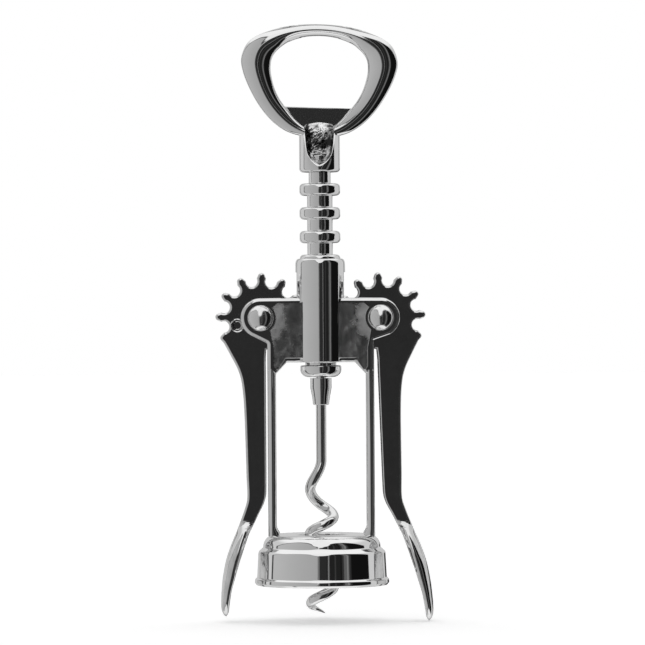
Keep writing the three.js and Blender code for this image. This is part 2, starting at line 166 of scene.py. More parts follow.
def rounded(corners, steps=6, closed=False):
    """A polyline through (a, b, radius) corners, each turned with an arc of its radius."""
    points = []
    count = len(corners)
    for i, corner in enumerate(corners):
        here = Vector(corner[:2])
        radius = corner[2] if len(corner) > 2 else 0
        at_end = not closed and i in (0, count - 1)
        if radius <= 0 or at_end:
            points.append(tuple(here))
            continue
        before = (Vector(corners[i - 1][:2]) - here).normalized()
        after = (Vector(corners[(i + 1) % count][:2]) - here).normalized()
        half = before.angle(after) / 2
        reach = radius / math.tan(half)
        centre = here + (before + after).normalized() * radius / math.sin(half)
        first = here + before * reach - centre
        last = here + after * reach - centre
        turn = first.angle_signed(last)
        for k in range(steps + 1):
            step = first.copy()
            step.rotate(Matrix.Rotation(-turn * k / steps, 2))
            points.append(tuple(centre + step))
    return points


def spline(points, count, closed=False):
    """A smooth run of points through a few chosen ones."""
    n = len(points)
    result = []
    spans = n if closed else n - 1
    for i in range(spans):
        if closed:
            p = [Vector(points[(i + k - 1) % n]) for k in range(4)]
        else:
            p = [Vector(points[min(max(i + k - 1, 0), n - 1)]) for k in range(4)]
            if i == 0:
                p[0] = 2 * p[1] - p[2]
            if i == spans - 1:
                p[3] = 2 * p[2] - p[1]
        for k in range(count):
            t = k / count
            a = 2 * p[1]
            b = p[2] - p[0]
            c = 2 * p[0] - 5 * p[1] + 4 * p[2] - p[3]
            d = 3 * p[1] - p[0] - 3 * p[2] + p[3]
            result.append(tuple((a + b * t + c * t * t + d * t * t * t) / 2))
    if not closed:
        result.append(tuple(points[-1]))
    return result


def interpolate(table, x):
    """The value at x on straight lines between (x, value) pairs in rising order of x."""
    if x <= table[0][0]:
        return table[0][1]
    for (x1, v1), (x2, v2) in zip(table, table[1:]):
        if x <= x2:
            t = (x - x1) / (x2 - x1)
            return v1 + (v2 - v1) * t
    return table[-1][1]


def smoothstep(low, high, x):
    """0 at low and 1 at high, with a soft start and end."""
    t = min(max((x - low) / (high - low), 0), 1)
    return t * t * (3 - 2 * t)


# ---------- mesh helpers

def make_piece(name, vertices, faces, smooth_angle=40):
    """A mesh object from millimetre vertices, with smooth shading up to an edge angle."""
    mesh = bpy.data.meshes.new(name)
    mesh.from_pydata([tuple(c * MM for c in v) for v in vertices], [], faces)
    clean(mesh)
    shade(mesh, smooth_angle)
    piece = bpy.data.objects.new(name, mesh)
    bpy.context.scene.collection.objects.link(piece)
    return piece


def clean(mesh):
    """Merges doubled points and turns every face outwards."""
    work = bmesh.new()
    work.from_mesh(mesh)
    bmesh.ops.remove_doubles(work, verts=work.verts, dist=1e-7)
    bmesh.ops.dissolve_degenerate(work, edges=work.edges, dist=1e-8)
    bmesh.ops.recalc_face_normals(work, faces=work.faces)
    work.to_mesh(mesh)
    work.free()


def shade(mesh, smooth_angle):
    """Smooth shading, with sharp edges where faces meet at more than the angle."""
    mesh.polygons.foreach_set("use_smooth", [True] * len(mesh.polygons))
    mesh.set_sharp_from_angle(angle=math.radians(smooth_angle))
    mesh.update()


def turned(name, profile, segments=128, smooth_angle=40, centre=(0, 0), along="z"):
    """A (radius, height) profile turned about Z, or about a line towards the front (-Y)."""
    vertices = []
    rings = []
    for radius, height in profile:
        if radius < 1e-6:
            rings.append([len(vertices)] * segments)
            vertices.append((0, 0, height))
        else:
            rings.append([len(vertices) + k for k in range(segments)])
            for k in range(segments):
                angle = 2 * math.pi * k / segments
                vertices.append((radius * math.cos(angle), radius * math.sin(angle), height))
    faces = []
    for lower, upper in zip(rings, rings[1:]):
        for k in range(segments):
            n = (k + 1) % segments
            face = [lower[k], lower[n], upper[n], upper[k]]
            unique = list(dict.fromkeys(face))
            if len(unique) > 2:
                faces.append(unique)
    if along == "front":
        vertices = [(centre[0] + x, -h, centre[1] + y) for x, y, h in vertices]
    return make_piece(name, vertices, faces, smooth_angle)


def offset(outline, distance, fixed=None):
    """The outline moved inwards along its corner bisectors. fixed gives set directions."""
    n = len(outline)
    area = sum(
        outline[i][0] * outline[(i + 1) % n][1] - outline[(i + 1) % n][0] * outline[i][1]
        for i in range(n)
    )
    sign = 1 if area > 0 else -1
    moved = []
    for i in range(n):
        here = Vector(outline[i])
        before = (here - Vector(outline[i - 1])).normalized()
        after = (Vector(outline[(i + 1) % n]) - here).normalized()
        normal = Vector((-before.y - after.y, before.x + after.x)) * sign
        normal.normalize()
        stretch = 1 / max(0.5, abs(normal.dot(Vector((-after.y, after.x)))))
        if fixed and i in fixed:
            normal, stretch = Vector(fixed[i]), 1
        moved.append(tuple(here + normal * distance * stretch))
    return moved


def slab_levels(front, back, edge, steps=5, middle=1):
    """(Y, inset) pairs from the front face round the edge to the back face."""
    support = edge + 0.08
    rim = [(0, support)]
    for k in range(steps + 1):
        angle = math.pi / 2 * k / steps
        rim.append((edge * (1 - math.cos(angle)), edge * (1 - math.sin(angle))))
    levels = [(front + depth, inset) for depth, inset in rim]
    for k in range(1, middle):
        levels.append((front + edge + (back - front - 2 * edge) * k / middle, 0))
    return levels + [(back - depth, inset) for depth, inset in reversed(rim)]


def side_faces(count, rows, skip=None):
    """Faces between rows of points that follow one another, less one side if said."""
    faces = []
    for low in range(0, count * (rows - 1), count):
        for k in range(count):
            if k != skip:
                m = (k + 1) % count
                faces.append([low + k, low + m, low + count + m, low + count + k])
    return faces


def slab_mesh(outline, levels, fixed=None, open_edge=None):
    """Vertices and faces of a plate in X and Z whose edge is rounded by the levels."""
    n = len(outline)
    vertices = []
    for y, inset in levels:
        vertices += [(x, y, z) for x, z in offset(outline, inset, fixed)]
    faces = [list(range(n)), [len(vertices) - 1 - k for k in range(n)]]
    return vertices, faces + side_faces(n, len(levels), open_edge)


def slab(name, outline, front, back, edge, smooth_angle=40, steps=5):
    """A plate in X and Z from its front Y to its back Y, with a rounded edge."""
    vertices, faces = slab_mesh(outline, slab_levels(front, back, edge, steps))
    return make_piece(name, vertices, faces, smooth_angle)


def loft(name, sections, smooth_angle=40, cap=True):
    """Faces between matching rings of points, closed at both ends unless cap is off."""
    count = len(sections[0])
    vertices = [point for section in sections for point in section]
    faces = side_faces(count, len(sections))
    if cap:
        faces.append(list(range(count)))
        faces.append([len(vertices) - 1 - k for k in range(count)])
    return make_piece(name, vertices, faces, smooth_angle)


def swept(name, path, radius_at, sides=24):
    """A round tube along a dense path, closed at both ends."""
    points = [Vector(p) for p in path]
    tangent = (points[1] - points[0]).normalized()
    side = tangent.orthogonal().normalized()
    sections = []
    for i, point in enumerate(points):
        ahead = points[min(i + 1, len(points) - 1)]
        behind = points[max(i - 1, 0)]
        direction = (ahead - behind).normalized()
        side = (side - direction * side.dot(direction)).normalized()
        other = direction.cross(side)
        radius = radius_at(i / (len(points) - 1))
        ring = []
        for k in range(sides):
            angle = 2 * math.pi * k / sides
            ring.append(tuple(point + (side * math.cos(angle) + other * math.sin(angle)) * radius))
        sections.append(ring)
    return loft(name, sections)


def combine(piece, tools, operation):
    """Joins the tools to the piece or cuts them from it, and removes them."""
    for tool in tools:
        modifier = piece.modifiers.new(operation, "BOOLEAN")
        modifier.operation = operation
        modifier.solver = "EXACT"
        modifier.material_mode = "TRANSFER"
        modifier.object = tool
        graph = bpy.context.evaluated_depsgraph_get()
        mesh = bpy.data.meshes.new_from_object(piece.evaluated_get(graph))
        piece.modifiers.clear()
        if not mesh.vertices:
            raise ValueError(f"{operation} of {tool.name} with {piece.name} leaves nothing")
        old = piece.data
        piece.data = mesh
        bpy.data.meshes.remove(old)
        bpy.data.objects.remove(tool)


def paint(piece, material):
    """Gives a piece or a cutter its only material."""
    piece.data.materials.clear()
    piece.data.materials.append(material)
    return piece


def finish_piece(piece, body, slot_name, material, *nodes):
    """Gives a piece its material and its body, and hides the CAD nodes that it stands for. The slot name
    is not used.
    """
    if material:
        paint(piece, material)
    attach(piece, body)
    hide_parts(*nodes)


def box(name, x1, x2, y1, y2, z1, z2):
    """A straight block for cutting."""
    corners = [(x1, z1), (x2, z1), (x2, z2), (x1, z2)]
    vertices = [(x, y1, z) for x, z in corners] + [(x, y2, z) for x, z in corners]
    faces = [[0, 1, 2, 3], [7, 6, 5, 4]]
    faces += [[k, (k + 1) % 4, 4 + (k + 1) % 4, 4 + k] for k in range(4)]
    return make_piece(name, vertices, faces)


# ---------- materials

class NodeMath:
    """Arithmetic on shader values, where each item is a number or a node's output."""

    def __init__(self, nodes, links):
        self.nodes = nodes
        self.links = links

    def feed(self, item, socket):
        if isinstance(item, (int, float)):
            socket.default_value = item
        else:
            self.links.new(item, socket)

    def math(self, operation, *items):
        node = self.nodes.new("ShaderNodeMath")
        node.operation = operation
        for item, socket in zip(items, node.inputs):
            self.feed(item, socket)
        return node.outputs[0]

    def step(self, low, high, item):
        """0 at low and 1 at high, softly."""
        node = self.nodes.new("ShaderNodeMapRange")
        node.interpolation_type = "SMOOTHSTEP"
        self.feed(item, node.inputs["Value"])
        node.inputs["From Min"].default_value = low
        node.inputs["From Max"].default_value = high
        return node.outputs["Result"]

    def band(self, item, low, high, soft):
        """1 between low and high, with edges as soft as said."""
        rise = self.step(low - soft, low + soft, item)
        fall = self.step(high + soft, high - soft, item)
        return self.math("MULTIPLY", rise, fall)

    def over(self, under, mask, value):
        """The value where the mask is 1, and what was under it where the mask is 0."""
        mix = self.nodes.new("ShaderNodeMix")
        self.feed(mask, mix.inputs["Factor"])
        self.feed(under, mix.inputs["A"])
        self.feed(value, mix.inputs["B"])
        return mix.outputs["Result"]


def node_material(name):
    """A new material's parts: itself, its nodes, links, shader and object coordinates."""
    material = bpy.data.materials.new(name)
    material.use_nodes = True
    nodes = material.node_tree.nodes
    links = material.node_tree.links
    shader = nodes["Principled BSDF"]
    place = nodes.new("ShaderNodeTexCoord").outputs["Object"]
    return material, nodes, links, shader, place


def noise_texture(nodes, links, place, scale, detail=4, roughness=0.55):
    """Noise over the object's own coordinates, with its scale per metre."""
    texture = nodes.new("ShaderNodeTexNoise")
    texture.inputs["Scale"].default_value = scale
    texture.inputs["Detail"].default_value = detail
    texture.inputs["Roughness"].default_value = roughness
    links.new(place, texture.inputs["Vector"])
    return texture.outputs["Fac"]


def ramp(nodes, links, value, stops):
    """A colour ramp of (position, grey) stops."""
    node = nodes.new("ShaderNodeValToRGB")
    elements = node.color_ramp.elements
    while len(elements) < len(stops):
        elements.new(0.5)
    for element, (position, grey) in zip(elements, stops):
        element.position = position
        element.color = (grey, grey, grey, 1)
    links.new(value, node.inputs["Fac"])
    return node.outputs["Color"]


def bumps(nodes, links, shader, layers):
    """Stacks (height, strength, distance) layers of bump under the shader."""
    normal = None
    for height, strength, distance in layers:
        bump = nodes.new("ShaderNodeBump")
        bump.inputs["Strength"].default_value = strength
        bump.inputs["Distance"].default_value = distance
        links.new(height, bump.inputs["Height"])
        if normal:
            links.new(normal, bump.inputs["Normal"])
        normal = bump.outputs["Normal"]
    links.new(normal, shader.inputs["Normal"])


def chrome(name, grey=0.86, low=0.03, high=0.1, ripple=0.04, grain=0.02):
    """Plated metal: slow ripple of the polish, fine grain, and smudges in the roughness."""
    material, nodes, links, shader, place = node_material(name)
    shader.inputs["Metallic"].default_value = 1
    smudge = noise_texture(nodes, links, place, 160, 5)
    tone = noise_texture(nodes, links, place, 60, 3)
    links.new(ramp(nodes, links, tone, [(0.3, grey * 0.95), (0.7, grey)]), shader.inputs["Base Color"])
    links.new(ramp(nodes, links, smudge, [(0.35, low), (0.75, high)]), shader.inputs["Roughness"])
    slow = noise_texture(nodes, links, place, 350, 2)
    fine = noise_texture(nodes, links, place, 5000, 3)
    bumps(nodes, links, shader, [(slow, ripple, 0.0002), (fine, grain, 0.00005)])
    return material


def near_pivot(nodes, links, place, tone):
    """1 in a ragged ring round either pivot and 0 away from it."""
    graph = NodeMath(nodes, links)
    split = nodes.new("ShaderNodeSeparateXYZ")
    links.new(place, split.inputs[0])
    x = graph.math("SUBTRACT", graph.math("ABSOLUTE", split.outputs["X"]), PIVOT_X * MM)
    z = graph.math("SUBTRACT", split.outputs["Z"], PIVOT_Z * MM)
    squares = graph.math("ADD", graph.math("MULTIPLY", x, x), graph.math("MULTIPLY", z, z))
    distance = graph.math("SQRT", squares)
    ragged = graph.math("ADD", distance, graph.math("MULTIPLY", tone, 0.007))
    return ramp(nodes, links, ragged, [(0.0085, 1.0), (0.0108, 0.0)])


def cast_chrome(name, tones, low, high, lump_scale, lump, pit, detail=5, rough_at_pivot=False):
    """Plating over a casting's skin: lumps, small pits and streaky roughness from low to high."""
    material, nodes, links, shader, place = node_material(name)
    shader.inputs["Metallic"].default_value = 1
    tone = noise_texture(nodes, links, place, 300, 6, 0.65)
    links.new(ramp(nodes, links, tone, tones), shader.inputs["Base Color"])
    roughness = ramp(nodes, links, tone, [(0.3, high), (0.75, low)])
    if rough_at_pivot:
        ring = near_pivot(nodes, links, place, tone)
        roughness = NodeMath(nodes, links).math("MULTIPLY_ADD", ring, 0.4, roughness)
    links.new(roughness, shader.inputs["Roughness"])
    lumps = noise_texture(nodes, links, place, lump_scale, detail, 0.6)
    pits = nodes.new("ShaderNodeTexVoronoi")
    pits.inputs["Scale"].default_value = 1500
    links.new(place, pits.inputs["Vector"])
    pit_shape = ramp(nodes, links, pits.outputs["Distance"], [(0.0, 0.0), (0.25, 1.0)])
    bumps(nodes, links, shader, [(lumps, lump, 0.0006), (pit_shape, pit, 0.00008)])
    return material


def plastic(name):
    """White plastic with a dull, slightly grained surface."""
    material, nodes, links, shader, place = node_material(name)
    tone = noise_texture(nodes, links, place, 300, 4)
    links.new(ramp(nodes, links, tone, [(0.3, 0.78), (0.7, 0.84)]), shader.inputs["Base Color"])
    links.new(ramp(nodes, links, tone, [(0.3, 0.42), (0.7, 0.55)]), shader.inputs["Roughness"])
    fine = noise_texture(nodes, links, place, 2500, 2)
    bumps(nodes, links, shader, [(fine, 0.15, 0.0001)])
    return material


POLISHED = chrome("polished_chrome")
BELL_CHROME = chrome("bell_chrome", grey=0.88, low=0.02, high=0.07, ripple=0.015, grain=0.01)
BARREL_CHROME = chrome("barrel_chrome", low=0.03, high=0.08, ripple=0.06, grain=0.02)
RACK_CHROME = chrome("rack_chrome", ripple=0.3, grain=0.04)
RIVET_CHROME = chrome("rivet_chrome", low=0.12, high=0.22, ripple=0.2, grain=0.06)
WIRE_STEEL = chrome("wire_steel", grey=0.82, low=0.06, high=0.15, ripple=0.15, grain=0.05)
PIN_STEEL = chrome("pin_steel", grey=0.6, low=0.25, high=0.4, ripple=0.1, grain=0.2)
LEVER_CHROME = cast_chrome("lever_chrome", [(0.3, 0.7), (0.7, 0.86)], low=0.04, high=0.09,
                           lump_scale=130, lump=0.1, pit=0.03)
CAST_CHROME = cast_chrome("cast_chrome", [(0.3, 0.62), (0.7, 0.82)], low=0.12, high=0.24,
                          lump_scale=150, lump=0.4, pit=0.12, detail=2, rough_at_pivot=True)
# Random near-black and bright patches over lumps and pits: the near-black patches are painted shade that
# darkens the hollow's recess.
ROUGH_CAST_PAINTED_SHADE = cast_chrome("rough_cast_painted_shade_chrome", [(0.46, 0.04), (0.6, 0.95)], low=0.03, high=0.08,
                         lump_scale=900, lump=0.45, pit=0.1, detail=2)
WEB_CHROME = cast_chrome("web_chrome", [(0.3, 0.7), (0.7, 0.85)], low=0.06, high=0.12,
                         lump_scale=400, lump=0.02, pit=0.02, detail=3)
LINER_PLASTIC = plastic("liner_plastic")


# ---------- frame casting

def lug_outline(side):
    """Front view of a lug plate, from the barrel round the pivot and down to the leg."""
    hidden = BARREL_BORE - 1.2
    points = [(hidden, PLATE_TOP)]
    points += arc(PIVOT, LUG_RADIUS, 88, -62, 40)
    if side < 0:
        waist = [(17.9, PIVOT_Z - 6.3), (LEG_OUTER, PIVOT_Z - 7.3, 0.8), (LEG_OUTER, 66)]
        points += rounded(waist, 8)[1:-1]
    else:
        points += [(LEG_OUTER, PIVOT_Z - 6.6)]
    points += [(LEG_OUTER, 66), (LEG_OUTER, 62), (LEG_INNER, 61.1)]
    brace = [(LEG_INNER, 61.1), (LEG_INNER - 3.2, BARREL_BOTTOM, 0.6), (hidden, BARREL_BOTTOM)]
    points += rounded(brace, 5)[1:]
    return [(side * x, z) for x, z in points][::side]


def field_outline(side):
    """The sunken field of a lug, inside its top bead, its lower edges and the rivet's rim."""
    hidden = 4.6
    edge = LEG_INNER + 0.6
    bottom = BARREL_BOTTOM + 1.2
    points = [(hidden, PLATE_TOP - 1.5), (PIVOT_X - 4.8, PLATE_TOP - 1.5)]
    points += arc(PIVOT, FIELD_RADIUS, 138, 232, 16)
    points += rounded([
        polar(PIVOT, FIELD_RADIUS, 232), (edge, PIVOT_Z - 8.6, 1.2), (edge, 63.4, 0.6),
        (LEG_INNER - 0.4, 61.9, 0.5), (LEG_INNER - 2.9, bottom, 0.5), (hidden, bottom),
    ], 6)[1:]
    return [(side * x, z) for x, z in points][::side]


def leg(side, front):
    """A leg with a half-round front and back, and a flared foot."""
    middle = side * (LEG_OUTER - LEG_WIDTH / 2)
    half = LEG_WIDTH / 2
    sections = []
    for z in [65.5, 40, 25, 20, 18.0, 17.0, 16.4, 15.9, 15.5, 15.1, 14.3]:
        flare = 1.0 * (1 - smoothstep(14.7, 17.2, z)) ** 1.5
        ring = []
        for k in range(48):
            angle = 2 * math.pi * (k + 0.5) / 48
            x = half * math.cos(angle)
            if x * side < 0:
                x *= 1 + flare / half
            y = half * math.sin(angle) + math.copysign(front - half, math.sin(angle))
            ring.append((middle + x, y, z))
        sections.append(ring)
    return loft(f"leg_{side}", sections)


def barrel():
    """The barrel as a solid post, with a rounded shoulder."""
    profile = rounded([
        (0, BARREL_BOTTOM), (BARREL_RADIUS, BARREL_BOTTOM, 0.45), (BARREL_RADIUS, 80),
    ], 8)
    shoulder_width = 0.9
    shoulder_height = 1.6
    for k in range(17):
        angle = math.pi / 2 * k / 16
        radius = BARREL_RADIUS - shoulder_width + shoulder_width * math.cos(angle)
        profile.append((radius, BARREL_TOP - shoulder_height + shoulder_height * math.sin(angle)))
    profile.append((0, BARREL_TOP))
    return paint(turned("frame_casting_piece", profile, 192, 30), BARREL_CHROME)


def bore():
    """Cutter for the barrel's bore, which is a little wider at either end."""
    entry = BARREL_BORE + 0.3
    profile = [
        (0, BARREL_BOTTOM - 2), (entry, BARREL_BOTTOM - 2), (entry, BARREL_BOTTOM + 0.05),
        (BARREL_BORE, BARREL_BOTTOM + 0.35), (BARREL_BORE, BARREL_TOP - 0.3),
        (BARREL_BORE + 0.15, BARREL_TOP + 2), (0, BARREL_TOP + 2),
    ]
    return turned("bore", profile, 192)


def rivet_seat(side):
    """Hole for a rivet's shank, with a shallow seat for the head on either face."""
    seat = PLATE_FRONT - SEAT_DEPTH
    edge = RIVET_RADIUS + 0.05
    profile = [
        (0, -6), (edge + 0.1, -6), (edge, -seat), (RIVET_HOLE, -seat),
        (RIVET_HOLE, seat), (edge, seat), (edge + 0.1, 6), (0, 6),
    ]
    return turned("rivet_seat", profile, 96, centre=(side * PIVOT_X, PIVOT_Z), along="front")


def field(side, facing):
    """Cutter for the sunken field on a lug's front or back face."""
    floor_y = facing * (PLATE_FRONT - FIELD_DEPTH)
    levels = sorted([(floor_y, 0.12), (facing * (PLATE_FRONT + 1), -0.26)])
    vertices, faces = slab_mesh(field_outline(side), levels)
    return paint(make_piece("field", vertices, faces), CAST_CHROME)


def frame_casting():
    """Barrel, lugs and legs in one, with the lever slots, the gear windows and the bore cut out."""
    casting = barrel()
    parts = []
    cuts = []
    for side in (-1, 1):
        parts.append(slab("lug", lug_outline(side), -PLATE_FRONT, PLATE_FRONT, LUG_EDGE, 30, 7))
        parts.append(leg(side, PLATE_FRONT))
        cuts += [field(side, facing) for facing in (-1, 1)]
        slots = (
            (WINDOW_INNER, WINDOW_BOTTOM, WINDOW_TOP),
            (LEG_SLOT_INNER, BARREL_BOTTOM - 0.6, WINDOW_BOTTOM + 0.6),
        )
        for inner, low, high in slots:
            left, right = sorted((side * inner, side * SLOT_OUTER))
            cuts.append(box("slot", left, right, -PLATE_BACK, PLATE_BACK, low, high))
        cuts.append(rivet_seat(side))
    cuts.append(bore())
    for tool in parts + cuts:
        if not tool.data.materials:
            paint(tool, BARREL_CHROME)
    combine(casting, parts, "UNION")
    combine(casting, cuts, "DIFFERENCE")
    clean(casting.data)
    shade(casting.data, 32)
    finish_piece(casting, "frame", "cast_chrome", None, "frame_casting")


# ---------- bell and liner

def bell():
    """Rim bead, leaning wall, a step, and a domed shoulder up to the flat top."""
    outside = rounded([
        (17.2, 0.0), (18.9, 0.0, 0.3), (19.5, 0.7, 0.45), (19.4, 1.7, 0.4), (18.8, 2.2, 0.35),
        (18.4, 9.7, 1.3), (17.0, 10.9, 0.6), (16.92, 11.8),
    ], 10)
    shoulder = arc((13.4, 11.05), 3.6, 12, 90, 20)[1:]
    inside = rounded([
        shoulder[-1], (6.4, 14.65, 0.3), (6.4, 13.45, 0.3), (14.0, 13.45, 1.5),
        (15.6, 10.5, 1.0), (16.0, 9.0, 1.0), (17.2, 6.5, 1.0), (17.2, 0.0),
    ], 8)
    piece = turned("bell_piece", outside + shoulder + inside[1:], 224, 50)
    finish_piece(piece, "frame", "bell_chrome", BELL_CHROME, "bell")


def bell_liner():
    """Ring inside the bell, against which the bottle's mouth comes."""
    profile = rounded([
        (15.5, 0.8, 0.3), (16.9, 0.8, 0.3), (16.9, 6.4, 1.0), (16.0, 9.4, 0.4),
        (12.6, 9.4, 0.3), (12.6, 8.2, 0.3), (15.5, 8.2, 0.5),
    ], 5, closed=True)
    piece = turned("bell_liner_piece", profile + profile[:1], 128, 40)
    finish_piece(piece, "frame", "liner_plastic", LINER_PLASTIC, "bell_liner")


# ---------- rivets

def rivets():
    """Rivets with a domed head in front, and the caps that close them at the back."""
    under_head = PLATE_FRONT - SEAT_DEPTH + 0.01
    steepest = math.degrees(math.asin(RIVET_RADIUS / RIVET_BALL))
    dome = arc((0, RIVET_TOP - RIVET_BALL), RIVET_BALL, 90 - steepest, 90, 24)
    shank = [(0, -5.0), (RIVET_SHANK, -5.0), (RIVET_SHANK, under_head)]
    head = shank + [(RIVET_RADIUS - 0.1, under_head)] + dome
    cap = [
        (0, -6.3), (1.4, -6.2), (2.6, -5.85), (3.4, -5.3), (3.8, -4.8), (3.9, -4.4), (3.9, -4.1),
        (RIVET_HOLE, -4.1), (RIVET_HOLE, -5.3), (0, -5.3),
    ]
    for word, side in (("left", -1), ("right", 1)):
        centre = (side * PIVOT_X, PIVOT_Z)
        piece = turned(f"{word}_pivot_rivet_piece", head, 96, 35, centre, "front")
        finish_piece(piece, "frame", "rivet_chrome", RIVET_CHROME, f"{word}_pivot_rivet")
        piece = turned(f"{word}_rivet_cap_piece", cap, 96, 50, centre, "front")
        finish_piece(piece, "frame", "rivet_chrome", RIVET_CHROME, f"{word}_rivet_cap")


# ---------- levers

# The arm's outer edge as (across, height) from the pivot.
OUTER_EDGE = [
    (11.2, -6.2), (8.8, -10.6), (6.5, -15.2), (5.4, -19.8), (4.8, -28), (4.3, ARM_END),
]
ARM_INNER = LEG_OUTER + 0.5 - PIVOT_X
# The spoon-shaped end as (height, value): both edges, half its width, and its hollow.
BLADE_OUTER = [
    (BLADE_END, 10.6), (-86.2, 11.3), (-84.9, 11.75), (-82.5, 11.9), (-77.6, 11.6), (-73.9, 11.1),
    (-70, 10.3), (-66.2, 9.05), (-62.4, 7.5), (-58.5, 6.0), (-55.5, 4.95), (-53.3, 4.3), (-51, 4.1),
    (ARM_END, 4.3),
]
BLADE_INNER = [
    (BLADE_END, 10.4), (-86.2, 9.8), (-85.3, 9.6), (-83.4, 9.3), (-79.6, 8.6), (-75.8, 7.45),
    (-71.9, 6.3), (-68.1, 5.05), (-64.3, 3.85), (-60.5, 2.5), (-58.5, 1.65), (-56.6, 0.74),
    (-54.7, -0.25), (-53.3, -0.85), (-51, -1.35), (ARM_END, ARM_INNER),
]
BLADE_WIDTH = [
    (BLADE_END, 0.4), (-86.5, 2.0), (-85.6, 3.4), (-83.5, 5.0), (-81, 6.0), (-77, 6.7), (-73, 6.9),
    (-69, 6.7), (-66, 6.2), (-64, 5.6), (-62.5, 4.9), (-61, 4.0), (-60, 3.2), (-59, 2.2),
    (-58, LEVER_HALF), (ARM_END, LEVER_HALF),
]
BLADE_BOW = [
    (BLADE_END, 0.0), (-85, 0.25), (-81, 0.8), (-75, 1.1), (-68, 1.0), (-62, 0.4), (-59, 0.0),
    (ARM_END, 0.0),
]
# How much later the face widens at its edges than in its middle.
BLADE_ARCH = 2.6
# Share of the section's way round, from the middle of a face, that its curve takes up.
FACE_SHARE = 0.36


def tooth(degrees):
    """Round tip and the valley after it, for a tooth at an angle from straight up."""
    facing = 90 - degrees
    next_facing = facing - TOOTH_STEP / 2
    direction = Vector(polar((0, 0), 1, facing))
    across = Vector((direction.y, -direction.x))
    tip = []
    for x, y in arc((0, TOOTH_TIP_RADIUS - TIP_ROUND), TIP_ROUND, 160, 20, 10):
        tip.append(tuple(direction * y + across * x * 1.05))
    valley = arc(polar((0, 0), VALLEY_CENTRE, next_facing), VALLEY_RADIUS,
                 next_facing + 78, next_facing + 282, 14)
    return tip + valley


def geared_plate(levels):
    """Vertices and faces of the gear and the arm, and the loop of points where the arm ends."""
    outline = [point for i in range(TOOTH_COUNT) for point in tooth(FIRST_TOOTH + i * TOOTH_STEP)]
    outer = spline(OUTER_EDGE, 10)
    corner_point = rounded([outline[-1], (12.0, -5.75, 1.0), outer[2]], 6)[1:-1]
    outline = outline + corner_point + outer[2:]
    open_edge = len(outline) - 1
    under = arc((0, 0), VALLEY_CENTRE - VALLEY_RADIUS, -100, -160, 14)
    outline += [(ARM_INNER, ARM_END), (ARM_INNER, -11.5)] + under
    fixed = {open_edge: (-1, 0), open_edge + 1: (1, 0)}
    vertices, faces = slab_mesh(outline, levels, fixed, open_edge)
    n = len(outline)
    count = len(levels)
    end = [open_edge + n * k for k in range(count)]
    end += [open_edge + 1 + n * k for k in reversed(range(count))]
    return vertices, faces, end


def blade_section(z, levels, lines):
    """Points round the blade at a height, turning from the flat arm's section into a rounded one."""
    right, left, bow = [interpolate(line, z) for line in lines[:3]]
    half = max((right - left - bow) / 2, 0.12)
    arch = BLADE_ARCH * smoothstep(-76, -66, z)
    count = len(levels)
    section = []
    for k in range(2 * count):
        outer_side = k < count
        level = k if outer_side else 2 * count - 1 - k
        y_flat, inset = levels[level]
        share = (level + 0.5) / count
        flank = FACE_SHARE <= share <= 1 - FACE_SHARE
        angle = math.pi / 2 * (1 if flank else min(share, 1 - share) / FACE_SHARE)
        local_z = min(ARM_END, z + arch * math.sin(angle) ** 2)
        half_width = max(interpolate(lines[3], local_z), 0.3)
        morph = smoothstep(-58.6, -61.6, local_z)
        end = min(half, half_width)
        straight = half_width - end
        if flank:
            y_round = straight * (share - 0.5) / (0.5 - FACE_SHARE)
        else:
            y_round = (straight + end * math.cos(angle)) * (-1 if share < 0.5 else 1)
        y = y_flat * (1 - morph) + y_round * morph
        x = (half - inset) * (1 - morph) + half * math.sin(angle) * morph
        middle = right - half - bow * (y / half_width) ** 2
        section.append((middle + (x if outer_side else -x), y, z))
    return section


def lever_mesh():
    """Vertices and faces of a right-hand lever about its pivot."""
    levels = slab_levels(-LEVER_HALF, LEVER_HALF, LEVER_EDGE, 5, 8)
    vertices, faces, previous = geared_plate(levels)
    lines = [spline(BLADE_OUTER, 16), spline(BLADE_INNER, 16), BLADE_BOW, spline(BLADE_WIDTH, 16)]
    heights = [ARM_END - 0.5 * k for k in range(1, 78)]
    heights += [-84.75 - 0.25 * k for k in range(6)]
    heights += [-86.2, -86.4, -86.6, -86.75, -86.88, -86.95]
    count = len(previous)
    for z in heights:
        ring = [len(vertices) + k for k in range(count)]
        vertices += blade_section(z, levels, lines)
        for k in range(count):
            m = (k + 1) % count
            faces.append([previous[k], previous[m], ring[m], ring[k]])
        previous = ring
    faces.append(previous[::-1])
    return vertices, faces


def lever(name, side, tilt, stretch, casting_mark):
    """A lever on its side of the barrel, tilted outwards, with its blade stretched below the bend."""
    vertices, faces = lever_mesh()
    turn = Matrix.Rotation(-tilt, 3, "Y")
    placed = []
    for x, y, z in vertices:
        if z < BEND:
            z = BEND + (z - BEND) * stretch
        spot = turn @ Vector((side * x, y, z))
        placed.append((spot.x + side * PIVOT_X, spot.y, spot.z + PIVOT_Z))
    piece = paint(make_piece(f"{name}_piece", placed, faces, 35), LEVER_CHROME)
    hole = [(0, -4), (RIVET_HOLE, -4), (RIVET_HOLE, 4), (0, 4)]
    cuts = [turned("pivot_hole", hole, 64, centre=(side * PIVOT_X, PIVOT_Z), along="front")]
    if casting_mark:
        mark = [
            (0, 1.35), (1.05, 1.35), (1.3, 1.68), (1.65, 1.7), (2.0, 2.02), (2.2, 2.6), (0, 2.6),
        ]
        centre = (side * (PIVOT_X + 6.7), PIVOT_Z - 2.1)
        cuts.append(turned("casting_mark", mark, 48, centre=centre, along="front"))
    for cut in cuts:
        paint(cut, LEVER_CHROME)
    combine(piece, cuts, "DIFFERENCE")
    clean(piece.data)
    shade(piece.data, 35)
    finish_piece(piece, name, "lever_chrome", None, name)


# ---------- spindle, collar, ferrule

